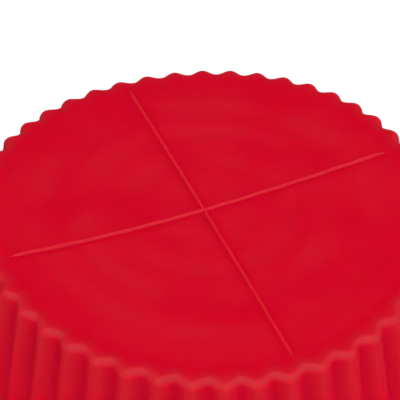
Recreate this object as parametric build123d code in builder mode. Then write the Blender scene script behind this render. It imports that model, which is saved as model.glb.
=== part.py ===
from build123d import *
import os
from math import cos, pi, sin

# Silicone muffin cup: one soft moulding, standing base up on its rim.
# Millimetres. +Z is up, the origin is the middle of the rim plane, the crossed ribs under the base
# lie along X and Y, and a flute crest lies on +X.

# Overall size
cup_height = 34.0
base_diameter = 55.2  # across the flute crests
rim_diameter = 69.4  # across the flute crests at the rim plane, inside the bead

# Fluted wall
flute_count = 47
base_flute_depth = 0.84  # crest to valley at the base
rim_flute_depth = 1.1  # crest to valley at the rim
wall = 1.0
base_edge_radius = 0.85  # outside, where the wall turns into the base
floor_edge_radius = 1.2  # inside, where the wall turns into the floor
edge_steps = 4  # outlines in a rounded edge's quarter turn, less one

# Rim bead, a soft swelling that follows the flutes
bead_proud = 0.5
bead_height = 2.0
bead_steps = 8
bead_root = 0.05  # how far its ends start inside the wall

# Base: a flat standing ring round a shallow recess
floor = 1.5  # thickness at the standing ring
ring_inner_radius = 25.1
recess_radius = 22.5  # the recess reaches its full depth here
recess_depth = 0.35
ripple_pitch = 5.0  # faint rings in the recess
ripple_depth = 0.06

# Crossed ribs in the recess, level with the standing ring
rib_width = 0.4
rib_arm_x = 24.4
rib_arm_y = 25.0
rib_tip_length = 2.0  # the width tapers to nothing over this length
rib_root = 0.3  # how far a rib runs down into the base

base_mean_radius = (base_diameter - base_flute_depth) / 2
wall_mean_radius = (rim_diameter - rim_flute_depth) / 2
shoulder_level = cup_height - base_edge_radius
cavity_level = cup_height - floor
cavity_shoulder_level = cavity_level - floor_edge_radius
recess_level = cup_height - recess_depth


def wall_outline(height, offset=0.0):
    """Height, mean radius and flute depth of the wall at a height, moved outwards by an offset."""
    share = height / shoulder_level
    mean_radius = wall_mean_radius + share * (base_mean_radius - wall_mean_radius) + offset
    flute_depth = rim_flute_depth + share * (base_flute_depth - rim_flute_depth)
    return height, mean_radius, flute_depth


def rounded_edge(height, offset, edge_radius):
    """Outlines up a quarter turn, from the wall at a height to a level face above it."""
    foot, mean_radius, flute_depth = wall_outline(height, offset)
    outlines = []
    for step in range(edge_steps + 1):
        turn = pi / 2 * step / edge_steps
        inset = edge_radius * (1 - cos(turn))
        outlines.append((foot + edge_radius * sin(turn), mean_radius - inset, flute_depth))
    return outlines


def swelling():
    """Outlines up the rim bead, which starts and ends just inside the wall."""
    outlines = []
    for step in range(bead_steps + 1):
        share = step / bead_steps
        proud = (bead_proud + bead_root) * sin(pi * share) - bead_root
        outlines.append(wall_outline(bead_height * share, proud))
    return outlines


def scallop(mean_radius, flute_depth):
    """Crest and valley points of a closed scalloped outline, in turn, from the crest on +X."""
    points = []
    for step in range(2 * flute_count):
        angle = pi * step / flute_count
        radius = mean_radius + flute_depth / 2 * cos(pi * step)
        points.append((radius * cos(angle), radius * sin(angle)))
    return points


def scallop_tangents():
    """Directions of that outline at its points: square to the radius at crests and valleys."""
    angles = [pi * step / flute_count for step in range(2 * flute_count)]
    return [(-sin(angle), cos(angle)) for angle in angles]


def recess_profile():
    """Radius and height of the recess floor: a ripple every pitch, then the rise to the ring."""
    points = [(0, recess_level)]
    half_pitches = int(recess_radius / (ripple_pitch / 2))
    for step in range(1, half_pitches + 1):
        height = recess_level - ripple_depth * (step % 2)
        points.append((step * ripple_pitch / 2, height))
    points.append((ring_inner_radius, cup_height))
    return points


def rib_plan(arm):
    """Plan of a rib along X that narrows to a point at each end."""
    full = arm - rib_tip_length
    half = rib_width / 2
    return [(-arm, 0), (-full, -half), (full, -half), (arm, 0), (full, half), (-full, half)]


lofts = [
    ([wall_outline(0), wall_outline(shoulder_level)], Mode.ADD),
    (rounded_edge(shoulder_level, 0, base_edge_radius), Mode.ADD),
    (swelling(), Mode.ADD),
    ([wall_outline(0, -wall), wall_outline(cavity_shoulder_level, -wall)], Mode.SUBTRACT),
    (rounded_edge(cavity_shoulder_level, -wall, floor_edge_radius), Mode.SUBTRACT),
]

with BuildPart() as muffin_cup:
    # Outer wall, base edge and rim bead, then the cavity and its rounded floor edge
    for outlines, mode in lofts:
        for height, mean_radius, flute_depth in outlines:
            with BuildSketch(Plane.XY.offset(height)):
                with BuildLine():
                    points = scallop(mean_radius, flute_depth)
                    Spline(*points, tangents=scallop_tangents(), periodic=True)
                make_face()
        loft(mode=mode)

    # Recess inside the standing ring
    with BuildSketch(Plane.XZ):
        with BuildLine():
            recess_line = Spline(*recess_profile())
            Polyline(recess_line @ 1, (0, cup_height), recess_line @ 0)
        make_face()
    revolve(axis=Axis.Z, mode=Mode.SUBTRACT)

    # Crossed ribs
    with BuildSketch(Plane.XY.offset(recess_level - rib_root)):
        for arm, direction in ((rib_arm_x, 0), (rib_arm_y, 90)):
            with Locations(Rotation(0, 0, direction)):
                Polygon(*rib_plan(arm), align=None)
    extrude(amount=recess_depth + rib_root)

muffin_cup.part.label = "muffin_cup"
os.makedirs("parts", exist_ok=True)
export_step(muffin_cup.part, "parts/muffin_cup.step")
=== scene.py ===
"""Looks for the silicone muffin cup: one fine-meshed skin round the CAD cup, material, light and camera."""

from math import atan2, copysign, cos, hypot, pi, radians, sin, sqrt

import bmesh
import bpy
from mathutils import Matrix, Vector


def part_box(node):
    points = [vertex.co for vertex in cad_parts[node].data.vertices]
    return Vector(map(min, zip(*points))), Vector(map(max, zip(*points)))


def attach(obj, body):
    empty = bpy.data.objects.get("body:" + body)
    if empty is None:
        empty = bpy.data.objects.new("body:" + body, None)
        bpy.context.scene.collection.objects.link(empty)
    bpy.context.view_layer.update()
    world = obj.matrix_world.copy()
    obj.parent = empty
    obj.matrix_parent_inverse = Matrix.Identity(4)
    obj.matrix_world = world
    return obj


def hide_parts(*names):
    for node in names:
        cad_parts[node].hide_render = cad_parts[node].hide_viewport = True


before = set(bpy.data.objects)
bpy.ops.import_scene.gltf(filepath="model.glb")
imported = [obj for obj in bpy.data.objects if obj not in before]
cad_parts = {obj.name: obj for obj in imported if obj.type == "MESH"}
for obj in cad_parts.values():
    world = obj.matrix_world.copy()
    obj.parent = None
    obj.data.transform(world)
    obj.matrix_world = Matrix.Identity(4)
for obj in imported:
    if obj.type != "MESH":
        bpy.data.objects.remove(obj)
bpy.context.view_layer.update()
cup_low, cup_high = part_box("muffin_cup")

# Sizes, in metres
MM = 0.001
cup_height = cup_high[2]
rim_radius = (cup_high[1] - cup_low[1]) / 2
flute_count = 47
flute_phase = radians(-0.74)  # from the rib on X to the nearest flute crest

base_mean_radius = 27.18 * MM
base_flute = 0.42 * MM  # half the crest-to-valley depth
rim_flute = 0.55 * MM
crest_fullness = 0.15  # 0 makes crests and valleys alike, and more makes the crests wider
wall = 1.0 * MM
floor_thickness = 1.5 * MM
edge_radius = 0.85 * MM
edge_bevel = 1.3  # 1 is a round edge, and more is nearer to a bevel
floor_edge_radius = 1.2 * MM

bead_proud = 0.5 * MM
bead_height = 2.0 * MM
bead_reach = 0.3 * MM  # how far the bead passes the flute crests of the rim plane

ring_inner_radius = 25.1 * MM
ring_margin = 0.2 * MM  # the fine grid of the base reaches this far past it
dish_depth = 0.12 * MM
ripple_pitch = 5.0 * MM
ripple_phase = 2.2 * MM  # radius of the first faint ring
ripple_height = 0.035 * MM

# Painted sheen: a pale reflection of the surroundings painted into the base's colour, with painted shade
# beside the ribs
sheen_rib_gap = 1.0 * MM  # the painted sheen keeps this far from the ribs, as painted shade beside them
sheen_radius = 22.0 * MM
sheen_fade = 3.2 * MM
ring_sheen = 0.45  # share of the painted sheen that stays on top of the faint rings; the rest, between them, is painted ring shading

rib_half_width = 0.27 * MM
rib_height = 0.28 * MM
rib_arm_x = 24.4 * MM
rib_arm_y = 25.0 * MM
rib_tip = 1.6 * MM  # a rib sinks and narrows over this length at each end
rib_tip_width = 0.5  # share of the width that is left where it ends
rib_aside = 0.2 * MM  # how far the middle of the rib along X lies from the axis

# Painted highlight: a pale band painted round the rounded edge of the base and down the flute crests, where
# the surface is also made rougher
highlight_reach = 1.5 * MM  # the painted edge highlight starts this far in from its turn
level_highlight = 0.55  # share of the painted highlight on the level base beside the edge
level_highlight_end = 1 / 3  # share of the edge's drop at which the level share has grown to 1
crest_highlight = 0.55  # share of the painted highlight that goes on down the flute crests
crest_highlight_length = 12.0 * MM  # it fades out over this height

# How the soft cup has sprung out of true: the base is saddle-shaped and very slightly oval.
# The lengths are rises of the edge, measured along and across the direction that the camera faces.
turn = radians(21.6)  # from the camera's right hand to the rib on X
rise_across = 1.22 * MM
rise_askew = 1.16 * MM
rise_along = -0.42 * MM
rise_cubic = -0.56 * MM
oval_square = -0.006
oval_askew = -0.016

# Material: colours are linear red, green, blue and alpha
red = (0.484, 0.0003, 0.0128, 1)
mottled_red = (0.504, 0.0005, 0.0144, 1)
# painted sheen on the base
sheen_red = (0.494, 0.0049, 0.0178, 1)
# paler tint of the ribs
rib_red = (0.560, 0.010, 0.022, 1)
# painted highlight round the edge and down the flute crests
highlight_red = (0.365, 0.012, 0.019, 1)
dust_pink = (0.60, 0.03, 0.06, 1)
floor_white = (0.92, 0.92, 0.92, 1)

cloud_size = 9 * MM
cloud_range = (0.34, 0.6)  # noise values between which the painted sheen thickens
thin_sheen = 0.15  # share of the painted sheen outside its clouds
mottle_size = 1.6 * MM
mottle_range = (0.3, 0.7)  # noise values between which the mottle changes
thin_pale_share = 0.6  # share of the paler tints, the painted highlight and the ribs' tint, where the mottle is low
grain_size = 0.25 * MM
grain_strength = 0.35
grain_depth = 0.02 * MM
dent_strength = 0.5
dent_depth = 0.06 * MM
dust_spacing = 2.4 * MM
dust_size = 0.12 * MM
dust_range = (0.6, 0.9)  # random values between which a speck shows
clear_roughness = 0.28
highlight_roughness = 0.5
reflection_index = 1.21
scatter_share = 0.9
scatter_depth = 3 * MM
scatter_colours = (1.0, 0.1, 0.15)

# Stage, in metres and degrees
floor_size = 1.4
floor_roughness = 0.9
world_strength = 0.05  # the light it gives; the camera sees it as plain white
# Each soft box: name, azimuth, elevation, distance, width, height and power in watts
soft_boxes = (
    ("key", 7, 58, 1.0, 2.6, 1.1, 19.5),
    ("front", 0, 22, 1.0, 1.8, 0.5, 1.9),
    ("side_key", 88, 28, 0.8, 0.06, 0.12, 0.9),
    ("left_fill", -100, 26, 1.0, 1.4, 0.8, 1.8),
    ("right_fill", 100, 30, 1.0, 1.4, 0.8, 1.6),
    ("overhead", 0, 78, 1.0, 0.9, 0.9, 3.6),
)

# Camera
camera_pitch = radians(42.14)
camera_roll = radians(-1.18)
camera_distance = 218.3 * MM
aim_right = -0.56 * MM
aim_up = 1.20 * MM
lens = 166.9  # in millimetres, like the sensor's width
sensor_width = 36
nearest_seen = 0.01  # in metres

# Mesh density
flute_columns = 20
edge_steps = 10
wall_steps = 30
bead_steps = 10
floor_steps = 14
ring_steps = 3
rim_shares = (0.3, 0.7)  # where rows cross the rim's flat edge
outline_detail = 8  # outline samples for each mesh column
fine_step = 0.05 * MM  # across the ribs
fine_reach = 2 * rib_half_width  # from the axis
coarse_step = 0.4 * MM  # the widest step elsewhere on the base
step_growth = 1.15

shoulder_height = cup_height - edge_radius
cavity_top = cup_height - floor_thickness
cavity_shoulder = cavity_top - floor_edge_radius
wall_mean_radius = rim_radius - bead_reach - rim_flute
disc_radius = ring_inner_radius + ring_margin
columns = flute_count * flute_columns
outline_samples = flute_columns * outline_detail
sample_angle = 2 * pi / flute_count / outline_samples


def smooth(share):
    """A soft step from 0 to 1."""
    share = min(max(share, 0.0), 1.0)
    return share * share * (3 - 2 * share)


def parallel(radii, amount):
    """One flute's outline moved outwards by an amount, square to itself, or inwards by a negative one."""
    neighbours = int(abs(amount) / (radii[0] * sample_angle)) + 1
    moved = []
    for here in range(outline_samples):
        reaches = []
        for there in range(-neighbours, neighbours + 1):
            radius = radii[(here + there) % outline_samples]
            angle = there * sample_angle
            room = amount**2 - (radius * sin(angle)) ** 2
            if room >= 0:
                reaches.append(radius * cos(angle) + copysign(sqrt(room), amount))
        moved.append(max(reaches) if amount > 0 else min(reaches))
    return moved


def base_edge_rows():
    """Rows over the rounded edge, from the level base down to the wall: a ball rolled round the flutes."""
    outline = []
    for sample in range(outline_samples):
        angle = 2 * pi * sample / outline_samples
        outline.append(base_mean_radius + base_flute * cos(angle - crest_fullness * sin(angle)))
    core = parallel(outline, -edge_radius)
    rows = [(core[::outline_detail], cup_height)]
    for step in range(edge_steps - 1, -1, -1):
        angle = pi / 2 * step / edge_steps
        grown = parallel(core, edge_radius * cos(angle) ** edge_bevel)
        rows.append((grown[::outline_detail], shoulder_height + edge_radius * sin(angle) ** edge_bevel))
    return rows


edge_rows = base_edge_rows()
flute_profile = [(radius - base_mean_radius) / base_flute for radius in edge_rows[-1][0]]


def wall_row(height, offset=0.0, lift=0.0, depth=1.0):
    """Radii over one flute, and height: the wall at a height, moved out by an offset and then lifted."""
    share = height / shoulder_height
    mean = wall_mean_radius + share * (base_mean_radius - wall_mean_radius) + offset
    flute = depth * (rim_flute + share * (base_flute - rim_flute))
    return [mean + flute * crest for crest in flute_profile], height + lift


def skin_rows():
    """Rows of the skin from the rounded edge of the base down the outside and up the inside."""
    rows = list(edge_rows)
    for step in range(1, wall_steps):
        rows.append(wall_row(shoulder_height + (bead_height - shoulder_height) * step / wall_steps))
    for step in range(bead_steps + 1):
        share = step / bead_steps
        rows.append(wall_row(bead_height * (1 - share), bead_proud * sin(pi * share)))
    for share in rim_shares:
        rows.append(wall_row(0, -wall * share))
    for step in range(wall_steps):
        rows.append(wall_row(cavity_shoulder * step / wall_steps, -wall))
    for step in range(edge_steps + 1):
        angle = pi / 2 * step / edge_steps
        inset = floor_edge_radius * (1 - cos(angle))
        rows.append(wall_row(cavity_shoulder, -wall - inset, floor_edge_radius * sin(angle)))
    floor_outline = rows[-1][0]
    for step in range(1, floor_steps):
        share = 1 - step / floor_steps
        rows.append(([radius * share for radius in floor_outline], cavity_top))
    return rows


def rib_share(x, y):
    """How much of a rib's full height stands at a place on the base."""
    crest = 0.0
    for along, across, arm in ((abs(x), abs(y - rib_aside), rib_arm_x), (abs(y), abs(x), rib_arm_y)):
        tip = smooth((arm - along) / rib_tip)
        half_width = rib_half_width * (rib_tip_width + (1 - rib_tip_width) * tip)
        if across < half_width:
            crest = max(crest, tip * cos(pi / 2 * across / half_width) ** 2)
    return crest


def base_level(x, y):
    """Height of the outside of the base: a shallow dish with faint rings, and the crossed ribs."""
    radius = hypot(x, y)
    edge = smooth(radius / ring_inner_radius)
    ripple = ripple_height * cos(2 * pi * (radius - ripple_phase) / ripple_pitch) * (1 - edge**4)
    return cup_height - dish_depth * (1 - edge) + ripple + rib_height * rib_share(x, y)


def highlight_share(x, y, z):
    """How much painted highlight the outside has: most round the edge of the base, and less down the flute
    crests.
    """
    flute = cos(flute_count * (atan2(y, x) - flute_phase))
    crest = smooth(0.5 + 0.5 * flute)
    if z < shoulder_height:
        return crest_highlight * crest * (1 - smooth((shoulder_height - z) / crest_highlight_length))
    start = base_mean_radius + base_flute * flute - edge_radius - highlight_reach
    turned = (cup_height - z) / edge_radius
    upper = smooth((hypot(x, y) - start) / highlight_reach)
    upper *= level_highlight + (1 - level_highlight) * smooth(turned / level_highlight_end)
    return upper * (1 - smooth(turned) * (1 - crest_highlight * crest))


def painted_sheen_share(x, y):
    """How much painted sheen (a pale reflection of the surroundings) the base holds: most between its faint
    rings, as painted ring shading, and none close to the ribs, as painted shade.
    """
    radius = hypot(x, y)
    between = 0.5 - 0.5 * cos(2 * pi * (radius - ripple_phase) / ripple_pitch)
    clear_of_ribs = smooth((min(abs(x), abs(y)) - rib_half_width) / sheen_rib_gap)
    inside = 1 - smooth((radius - sheen_radius) / sheen_fade)
    return (ring_sheen + (1 - ring_sheen) * between) * clear_of_ribs * inside


def sprung(x, y, z):
    """A point of the true cup, moved to where the sprung cup has it. The rim plane stays where it is."""
    share = (z / cup_height) ** 2
    angle = atan2(y, x) + turn
    radius = hypot(x, y) * (1 + share * (oval_square * cos(2 * angle) + oval_askew * sin(2 * angle)))
    across = radius * cos(angle) / base_mean_radius
    along = radius * sin(angle) / base_mean_radius
    lift = rise_across * across**2 + rise_askew * across * along + rise_along * along**2
    lift += rise_cubic * across**3
    angle -= turn
    return Vector((radius * cos(angle), radius * sin(angle), z + share * lift))


def grid_lines():
    """Places from -1 to 1 of the base grid's lines, close together where the ribs run."""
    place, step, half = 0.0, fine_step, [0.0]
    while place < disc_radius:
        if place > fine_reach:
            step = min(step * step_growth, coarse_step)
        place += step
        half.append(place)
    half = [place / half[-1] for place in half]
    return [-place for place in half[:0:-1]] + half


def stitch(bm, inner, outer):
    """Triangles between two closed loops of vertices round the axis."""
    loops = []
    for loop in (inner, outer):
        placed = sorted((atan2(vertex.co.y, vertex.co.x), vertex.index, vertex) for vertex in loop)
        first = placed[0]
        placed.append((first[0] + 2 * pi, first[1], first[2]))
        loops.append(placed)
    inner, outer = loops
    i = o = 0
    while i < len(inner) - 1 or o < len(outer) - 1:
        corners = [inner[i][2], outer[o][2]]
        if o == len(outer) - 1 or (i < len(inner) - 1 and inner[i + 1][0] < outer[o + 1][0]):
            i += 1
            corners.append(inner[i][2])
        else:
            o += 1
            corners.append(outer[o][2])
        bm.faces.new(corners)


def base_grid(bm):
    """The level base as a square grid bent into a disc. Returns the vertices round its edge."""
    lines = grid_lines()
    last = len(lines) - 1
    grid = []
    for v in lines:
        row = []
        for u in lines:
            x = disc_radius * u * sqrt(1 - v * v / 2)
            y = disc_radius * v * sqrt(1 - u * u / 2)
            row.append(bm.verts.new((x, y, base_level(x, y))))
        grid.append(row)
    for j in range(last):
        for i in range(last):
            bm.faces.new((grid[j][i], grid[j][i + 1], grid[j + 1][i + 1], grid[j + 1][i]))
    return grid[0] + grid[last] + [row[end] for row in grid[1:last] for end in (0, last)]


def fluted_loop(bm, radii, height):
    """A closed loop of vertices round the axis, with one flute's radii repeated."""
    loop = []
    for column in range(columns):
        angle = flute_phase + 2 * pi * column / columns
        radius = radii[column % flute_columns]
        loop.append(bm.verts.new((radius * cos(angle), radius * sin(angle), height)))
    return loop


def build_cup():
    """The whole cup as one closed mesh."""
    bm = bmesh.new()
    rib = bm.verts.layers.float.new("rib")
    painted_highlight = bm.verts.layers.float.new("painted_highlight")
    painted_sheen = bm.verts.layers.float.new("painted_sheen")
    disc_edge = base_grid(bm)
    # per-vertex masks: rib height, painted highlight, and painted sheen
    for vertex in bm.verts:
        vertex[rib] = rib_share(vertex.co.x, vertex.co.y)
        vertex[painted_highlight] = highlight_share(*vertex.co)
        vertex[painted_sheen] = painted_sheen_share(vertex.co.x, vertex.co.y)
    rows = skin_rows()
    ring_radii = rows[0][0]
    loops = []
    for step in range(1, ring_steps):
        share = step / ring_steps
        radii = [disc_radius + share * (radius - disc_radius) for radius in ring_radii]
        loops.append(fluted_loop(bm, radii, cup_height))
    for radii, height in rows:
        loops.append(fluted_loop(bm, radii, height))
    bm.verts.index_update()
    stitch(bm, disc_edge, loops[0])
    for upper, lower in zip(loops, loops[1:]):
        for column in range(columns):
            after = (column + 1) % columns
            bm.faces.new((upper[column], lower[column], lower[after], upper[after]))
    centre = bm.verts.new((0, 0, cavity_top))
    for column in range(columns):
        bm.faces.new((loops[-1][column], centre, loops[-1][(column + 1) % columns]))

    # painted highlight on the fluted rows
    for loop in loops[:ring_steps + edge_steps + wall_steps]:
        for vertex in loop:
            vertex[painted_highlight] = highlight_share(*vertex.co)
    for vertex in bm.verts:
        vertex.co = sprung(*vertex.co)
    bmesh.ops.recalc_face_normals(bm, faces=bm.faces)
    mesh = bpy.data.meshes.new("silicone_cup")
    bm.to_mesh(mesh)
    bm.free()
    mesh.shade_smooth()
    return mesh


def attribute(nodes, name):
    """A value that the mesh holds at each vertex."""
    node = nodes.new("ShaderNodeAttribute")
    node.attribute_name = name
    return node.outputs["Fac"]


def noise(nodes, links, place, size, detail):
    """Noise from 0 to 1, with features of a given size."""
    node = nodes.new("ShaderNodeTexNoise")
    node.inputs["Scale"].default_value = 1 / size
    node.inputs["Detail"].default_value = detail
    links.new(place, node.inputs["Vector"])
    return node.outputs["Fac"]


def spread(nodes, links, value, start, end, low=0.0, high=1.0):
    """Goes smoothly from low to high as a value goes from start to end."""
    node = nodes.new("ShaderNodeMapRange")
    node.interpolation_type = "SMOOTHSTEP"
    for name, setting in (("From Min", start), ("From Max", end), ("To Min", low), ("To Max", high)):
        node.inputs[name].default_value = setting
    links.new(value, node.inputs["Value"])
    return node.outputs["Result"]


def times(nodes, links, first, second):
    """Two values multiplied."""
    node = nodes.new("ShaderNodeMath")
    node.operation = "MULTIPLY"
    links.new(first, node.inputs[0])
    links.new(second, node.inputs[1])
    return node.outputs[0]


def tinted(nodes, links, colour, share, tint):
    """A colour, given as a socket or as numbers, mixed with a tint where the share is high."""
    node = nodes.new("ShaderNodeMixRGB")
    if isinstance(colour, tuple):
        node.inputs["Color1"].default_value = colour
    else:
        links.new(colour, node.inputs["Color1"])
    node.inputs["Color2"].default_value = tint
    links.new(share, node.inputs["Fac"])
    return node.outputs["Color"]


def dust_specks(nodes, links, place, spacing, size):
    """1 in tiny round specks scattered at random, and 0 elsewhere."""
    node = nodes.new("ShaderNodeTexVoronoi")
    node.inputs["Scale"].default_value = 1 / spacing
    links.new(place, node.inputs["Vector"])
    near = spread(nodes, links, node.outputs["Distance"], size / spacing, size / spacing / 2)
    split = nodes.new("ShaderNodeSeparateColor")
    links.new(node.outputs["Color"], split.inputs["Color"])
    chosen = spread(nodes, links, split.outputs["Red"], *dust_range)
    return times(nodes, links, near, chosen)


def bumped(nodes, links, height, strength, depth):
    """A bump node that dents the surface by a height value."""
    node = nodes.new("ShaderNodeBump")
    node.inputs["Strength"].default_value = strength
    node.inputs["Distance"].default_value = depth
    links.new(height, node.inputs["Height"])
    return node


def silicone():
    """Soft red silicone rubber: matte and translucent, with a painted sheen on the base, a painted
    highlight round the edge and down the crests, paler ribs, and dust.
    """
    material = bpy.data.materials.new("red_silicone")
    material.use_nodes = True
    nodes, links = material.node_tree.nodes, material.node_tree.links
    shader = nodes["Principled BSDF"]
    place = nodes.new("ShaderNodeTexCoord").outputs["Object"]

    clouds = noise(nodes, links, place, cloud_size, detail=3)
    mottle = noise(nodes, links, place, mottle_size, detail=4)
    grain = noise(nodes, links, place, grain_size, detail=2)
    patchy = spread(nodes, links, clouds, *cloud_range, low=thin_sheen)
    painted_sheen = times(nodes, links, attribute(nodes, "painted_sheen"), patchy)
    uneven = spread(nodes, links, mottle, *mottle_range, low=thin_pale_share)
    paler_rib = times(nodes, links, attribute(nodes, "rib"), uneven)
    painted_highlight = attribute(nodes, "painted_highlight")
    highlighted = times(nodes, links, painted_highlight, uneven)
    dust = dust_specks(nodes, links, place, dust_spacing, dust_size)

    colour = tinted(nodes, links, red, spread(nodes, links, mottle, *mottle_range), mottled_red)
    # painted sheen on the base, patchy, with painted shade beside the ribs
    colour = tinted(nodes, links, colour, painted_sheen, sheen_red)
    # the ribs are painted paler than the base
    colour = tinted(nodes, links, colour, paler_rib, rib_red)
    # painted highlight round the edge and down the flute crests
    colour = tinted(nodes, links, colour, highlighted, highlight_red)
    colour = tinted(nodes, links, colour, dust, dust_pink)
    links.new(colour, shader.inputs["Base Color"])
    # the surface is rougher where the highlight is painted
    roughness = spread(nodes, links, painted_highlight, 0, 1, clear_roughness, highlight_roughness)
    links.new(roughness, shader.inputs["Roughness"])

    dents = bumped(nodes, links, mottle, dent_strength, dent_depth)
    grained = bumped(nodes, links, grain, grain_strength, grain_depth)
    links.new(dents.outputs["Normal"], grained.inputs["Normal"])
    links.new(grained.outputs["Normal"], shader.inputs["Normal"])

    shader.inputs["IOR"].default_value = reflection_index
    shader.inputs["Subsurface Weight"].default_value = scatter_share
    shader.inputs["Subsurface Scale"].default_value = scatter_depth
    shader.inputs["Subsurface Radius"].default_value = scatter_colours
    return material


mesh = build_cup()
cup = bpy.data.objects.new("silicone_cup", mesh)
bpy.context.collection.objects.link(cup)
cup.data.materials.append(silicone())
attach(cup, "root")
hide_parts("muffin_cup")

# Floor
bpy.ops.mesh.primitive_plane_add(size=floor_size)
floor = bpy.context.object
floor.name = "floor"
white = bpy.data.materials.new("white_floor")
white.use_nodes = True
floor_shader = white.node_tree.nodes["Principled BSDF"]
floor_shader.inputs["Base Color"].default_value = floor_white
floor_shader.inputs["Roughness"].default_value = floor_roughness
floor.data.materials.append(white)
floor.visible_glossy = False

spin = Matrix.Rotation(-turn, 3, "Z")
level_right = spin @ Vector((1, 0, 0))
forward = spin @ Vector((0, cos(camera_pitch), -sin(camera_pitch)))
level_up = level_right.cross(forward)
right = cos(camera_roll) * level_right + sin(camera_roll) * level_up
up = -sin(camera_roll) * level_right + cos(camera_roll) * level_up
base_centre = Vector((0, 0, cup_height))
place = base_centre + aim_right * right + aim_up * up - camera_distance * forward

camera_data = bpy.data.cameras.new("camera")
camera_data.lens = lens
camera_data.sensor_width = sensor_width
camera_data.clip_start = nearest_seen
camera = bpy.data.objects.new("camera", camera_data)
camera.matrix_world = Matrix.Translation(place) @ Matrix((right, up, -forward)).transposed().to_4x4()
bpy.context.collection.objects.link(camera)
bpy.context.scene.camera = camera


def soft_light(name, azimuth, elevation, distance, width, height, power):
    """A soft box aimed at the cup. Azimuth 0 is behind the camera, 90 its right hand."""
    level = radians(azimuth - 90)
    reach = cos(radians(elevation))
    direction = spin @ Vector((reach * cos(level), reach * sin(level), sin(radians(elevation))))
    data = bpy.data.lights.new(name, "AREA")
    data.shape = "RECTANGLE"
    data.size = width
    data.size_y = height
    data.energy = power
    light = bpy.data.objects.new(name, data)
    light.visible_camera = False
    light.location = base_centre + direction * distance
    light.rotation_euler = direction.to_track_quat("Z", "Y").to_euler()
    bpy.context.collection.objects.link(light)


for soft_box in soft_boxes:
    soft_light(*soft_box)

world = bpy.data.worlds.new("studio")
world.use_nodes = True
nodes, links = world.node_tree.nodes, world.node_tree.links
nodes["Background"].inputs["Color"].default_value = (1, 1, 1, 1)
seen = nodes.new("ShaderNodeLightPath").outputs["Is Camera Ray"]
strength = spread(nodes, links, seen, 0, 1, low=world_strength)
links.new(strength, nodes["Background"].inputs["Strength"])
bpy.context.scene.world = world
bpy.context.scene.view_settings.view_transform = "Standard"
